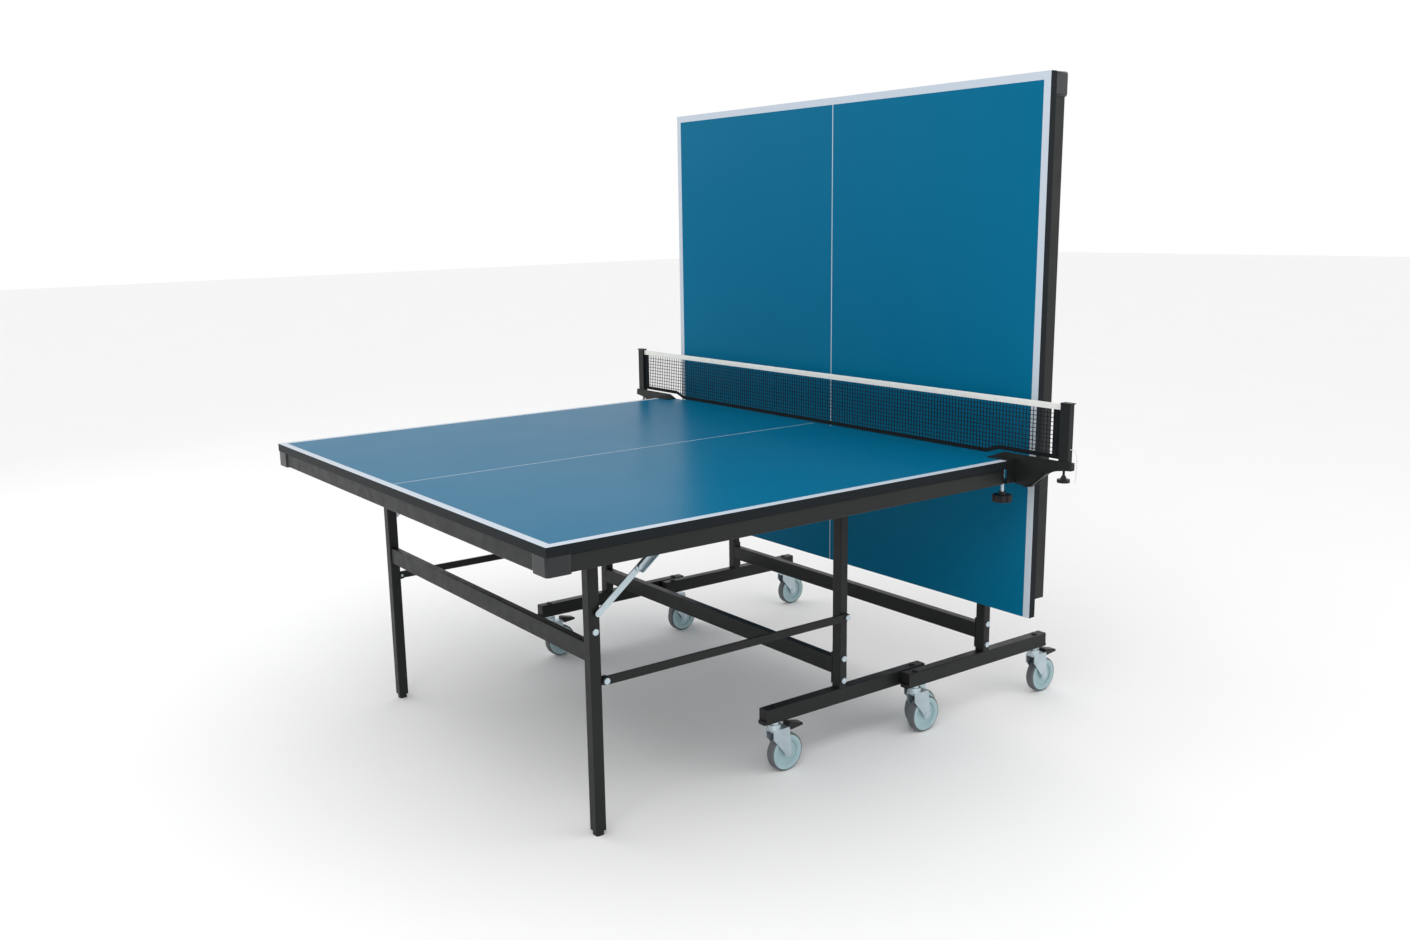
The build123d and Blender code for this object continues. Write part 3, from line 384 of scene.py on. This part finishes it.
def paint_wheel(name, node):
    """The side of the wheel is disc, and the rounded tread outside it is tyre."""
    low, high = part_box(name)
    middle = (low + high) / 2
    paint_faces(node, WHEEL_TYRE, lambda spot: math.hypot(spot.x - middle.x, spot.z - middle.z) > TYRE_START)


def paint_screw(name, node):
    """The screw above the clamp's knob is zinc plated."""
    low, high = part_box(name)
    middle = (low + high) / 2

    def on_screw(spot):
        away = math.hypot(spot.x - middle.x, spot.y - middle.y)
        return away < SCREW_RADIUS and spot.z > middle.z

    paint_faces(node, ZINC, on_screw)


def paint_nuts(node):
    """The caster nuts on the beams are black, and the other bolts are zinc."""
    paint_faces(node, BLACK_PLASTIC, lambda spot: NUT_HEIGHTS[0] < spot.z < NUT_HEIGHTS[1])


for part in frame["record"]["subparts"]:
    name = part["node"]
    node = frame["nodes"][name]
    material = NODE_MATERIALS.get(name) or SLOT_MATERIALS[part["material_slot"]]
    node.data.materials.clear()
    node.data.materials.append(material)
    if name.startswith("wheel_"):
        paint_wheel(name, node)
    if name.startswith("clamp_screw_"):
        paint_screw(name, node)
    if name.startswith("trolley_bolts_"):
        paint_nuts(node)
    soften(node)

cord.data.materials.append(CORD_BRAID)
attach(cord, "top_a")
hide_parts("tension_cord")


# --- the net ---
MESH_PITCH = 0.0105
THREAD = 0.0015
mesh_low, mesh_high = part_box("net_mesh")
CLAMP_RISE = 0.013
NET_RAISED = mesh_low.z + CLAMP_RISE
NET_LOW_SPAN = (0.660, 0.700)
BAND_WIDTH = 0.025
HEM_HEIGHT = 0.011
BAND_STEPS = 12
BAND_SWAY = 0.0002
TAPE_STEPS = 220
TAPE_RIPPLES = ((0.0002, 0.9), (0.00015, 0.37))
TAPE_INSET = 0.0004
TAPE_SHOULDER = 0.0016


def add_bar(mesh, start, end, width):
    """A four-sided thread between two points in the net's plane."""
    along = (end - start).normalized()
    side = along.cross(Vector((1, 0, 0))).normalized() * width / 2
    out = Vector((width / 2, 0, 0))
    rings = []
    for point in (start, end):
        rings.append([mesh.verts.new(point + k) for k in (side + out, out - side, -side - out, side - out)])
    for k in range(4):
        mesh.faces.new((rings[0][k], rings[0][k - 1], rings[1][k - 1], rings[1][k]))
    mesh.faces.new(rings[0])
    mesh.faces.new(rings[1][::-1])


def net_bottom(y):
    """The height of the net's lower edge, which steps up over the clamps."""
    away = abs(y)
    if away <= NET_LOW_SPAN[0]:
        return mesh_low.z
    if away >= NET_LOW_SPAN[1]:
        return NET_RAISED
    share = (away - NET_LOW_SPAN[0]) / (NET_LOW_SPAN[1] - NET_LOW_SPAN[0])
    return mesh_low.z + share * (NET_RAISED - mesh_low.z)


def finish_mesh(name, mesh, material, body):
    """Make an object of a mesh, and say what it rides on."""
    data = bpy.data.meshes.new(name)
    bmesh.ops.recalc_face_normals(mesh, faces=mesh.faces)
    mesh.to_mesh(data)
    mesh.free()
    data.materials.append(material)
    piece = bpy.data.objects.new(name, data)
    bpy.context.scene.collection.objects.link(piece)
    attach(piece, body)
    return piece


def make_net():
    """The square netting, thread by thread."""
    mesh = bmesh.new()
    reach = mesh_high.y
    inset = THREAD / 2
    columns = int(2 * reach / MESH_PITCH)
    step = 2 * (reach - inset) / columns
    for k in range(columns + 1):
        y = inset - reach + k * step
        bottom = net_bottom(y) + inset
        add_bar(mesh, Vector((NET_X, y, bottom)), Vector((NET_X, y, mesh_high.z)), THREAD)
    rows = int((mesh_high.z - mesh_low.z) / MESH_PITCH)
    for k in range(1, rows + 1):
        z = mesh_high.z - k * MESH_PITCH
        end = reach if z > NET_RAISED else NET_LOW_SPAN[0]
        add_bar(mesh, Vector((NET_X, -end, z)), Vector((NET_X, end, z)), THREAD)
    return finish_mesh("net_threads", mesh, NET_THREAD, "top_a")


def make_hem():
    """The closely woven dark band along the lower edge."""
    mesh = bmesh.new()
    ends = [-mesh_high.y, -NET_LOW_SPAN[1], -NET_LOW_SPAN[0], NET_LOW_SPAN[0], NET_LOW_SPAN[1], mesh_high.y]
    low = [mesh.verts.new((NET_X, y, net_bottom(y))) for y in ends]
    high = [mesh.verts.new((NET_X, y, net_bottom(y) + HEM_HEIGHT)) for y in ends]
    for k in range(len(ends) - 1):
        mesh.faces.new((low[k], low[k + 1], high[k + 1], high[k]))
    return finish_mesh("net_hem", mesh, NET_THREAD, "top_a")


def make_band(name, side):
    """The closely woven band between the netting and a post."""
    mesh = bmesh.new()
    inner = side * (mesh_high.y - BAND_WIDTH)
    outer = side * mesh_high.y
    rows = []
    for k in range(BAND_STEPS + 1):
        z = NET_RAISED + (mesh_high.z - NET_RAISED) * k / BAND_STEPS
        sway = BAND_SWAY * math.sin(k * 1.7)
        rows.append([mesh.verts.new((NET_X + sway, y, z)) for y in (inner, outer)])
    for low, high in zip(rows, rows[1:]):
        mesh.faces.new((low[0], low[1], high[1], high[0]))
    return finish_mesh(name, mesh, NET_THREAD, "top_a")


def make_tape():
    """The white tape, folded over the top of the net, with a slight ripple."""
    low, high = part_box("net_tape")
    half = (high.x - low.x) / 2 - TAPE_INSET
    profile = [(-half, low.z), (-half, high.z - TAPE_SHOULDER)]
    profile += [(-half * 0.6, high.z - TAPE_INSET), (0.0, high.z)]
    profile += [(-x, z) for x, z in reversed(profile[:-1])]
    mesh = bmesh.new()
    rows = []
    for k in range(TAPE_STEPS + 1):
        y = low.y + (high.y - low.y) * k / TAPE_STEPS
        ripple = sum(height * math.sin(k * pace) for height, pace in TAPE_RIPPLES)
        rows.append([mesh.verts.new((NET_X + x + ripple, y, z)) for x, z in profile])
    for first, second in zip(rows, rows[1:]):
        for k in range(len(profile) - 1):
            mesh.faces.new((first[k], first[k + 1], second[k + 1], second[k]))
    for face in mesh.faces:
        face.smooth = True
    return finish_mesh("net_tape_cloth", mesh, TAPE_CLOTH, "top_a")


net = make_net()
hem = make_hem()
bands = [make_band("net_band_near", -1), make_band("net_band_far", 1)]
tape = make_tape()
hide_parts("net_mesh")
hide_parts("net_tape")


# --- floor and light ---
FLOOR_HALF = 30.0
FLOOR_DARK = (0.90, 0.90, 0.90, 1)
FLOOR_LIGHT = (0.92, 0.92, 0.92, 1)
SURROUND = (1.0, 1.0, 1.0, 1.0)
LIGHTS = (
    ("key", (-2.6, -2.4, 3.8), (0.0, 0.0, 0.8), (2.6, 2.6), 50.0),
    ("back", (-2.2, 3.6, 2.6), (0.0, 0.0, 0.8), (3.0, 2.0), 20.0),
    ("fill", (2.4, -3.0, 2.0), (0.3, 0.0, 0.7), (2.2, 2.2), 12.0),
)


def make_floor():
    """A plain pale floor."""
    mesh = bmesh.new()
    bmesh.ops.create_grid(mesh, x_segments=1, y_segments=1, size=FLOOR_HALF)
    data = bpy.data.meshes.new("floor")
    mesh.to_mesh(data)
    mesh.free()
    material, tree, shader = new_material("floor_pale")
    point = place(tree)[0]
    colour = mix(tree, noise(tree, point, 1.5, 3.0), FLOOR_DARK, FLOOR_LIGHT)
    tree.links.new(colour, shader.inputs["Base Color"])
    shader.inputs["Roughness"].default_value = 0.9
    data.materials.append(material)
    floor = bpy.data.objects.new("floor", data)
    bpy.context.scene.collection.objects.link(floor)


def add_light(name, location, target, size, power):
    """A large soft area light that looks at a point."""
    data = bpy.data.lights.new(name, "AREA")
    data.shape = "RECTANGLE"
    data.size = size[0]
    data.size_y = size[1]
    data.energy = power
    light = bpy.data.objects.new(name, data)
    light.location = location
    aim = Vector(target) - Vector(location)
    light.rotation_euler = aim.to_track_quat("-Z", "Y").to_euler()
    bpy.context.scene.collection.objects.link(light)


def make_world():
    """An even pale surround."""
    world = bpy.data.worlds.new("surround")
    world.use_nodes = True
    background = world.node_tree.nodes["Background"]
    background.inputs["Color"].default_value = SURROUND
    background.inputs["Strength"].default_value = 1.0
    bpy.context.scene.world = world


make_floor()
make_world()
for light in LIGHTS:
    add_light(*light)
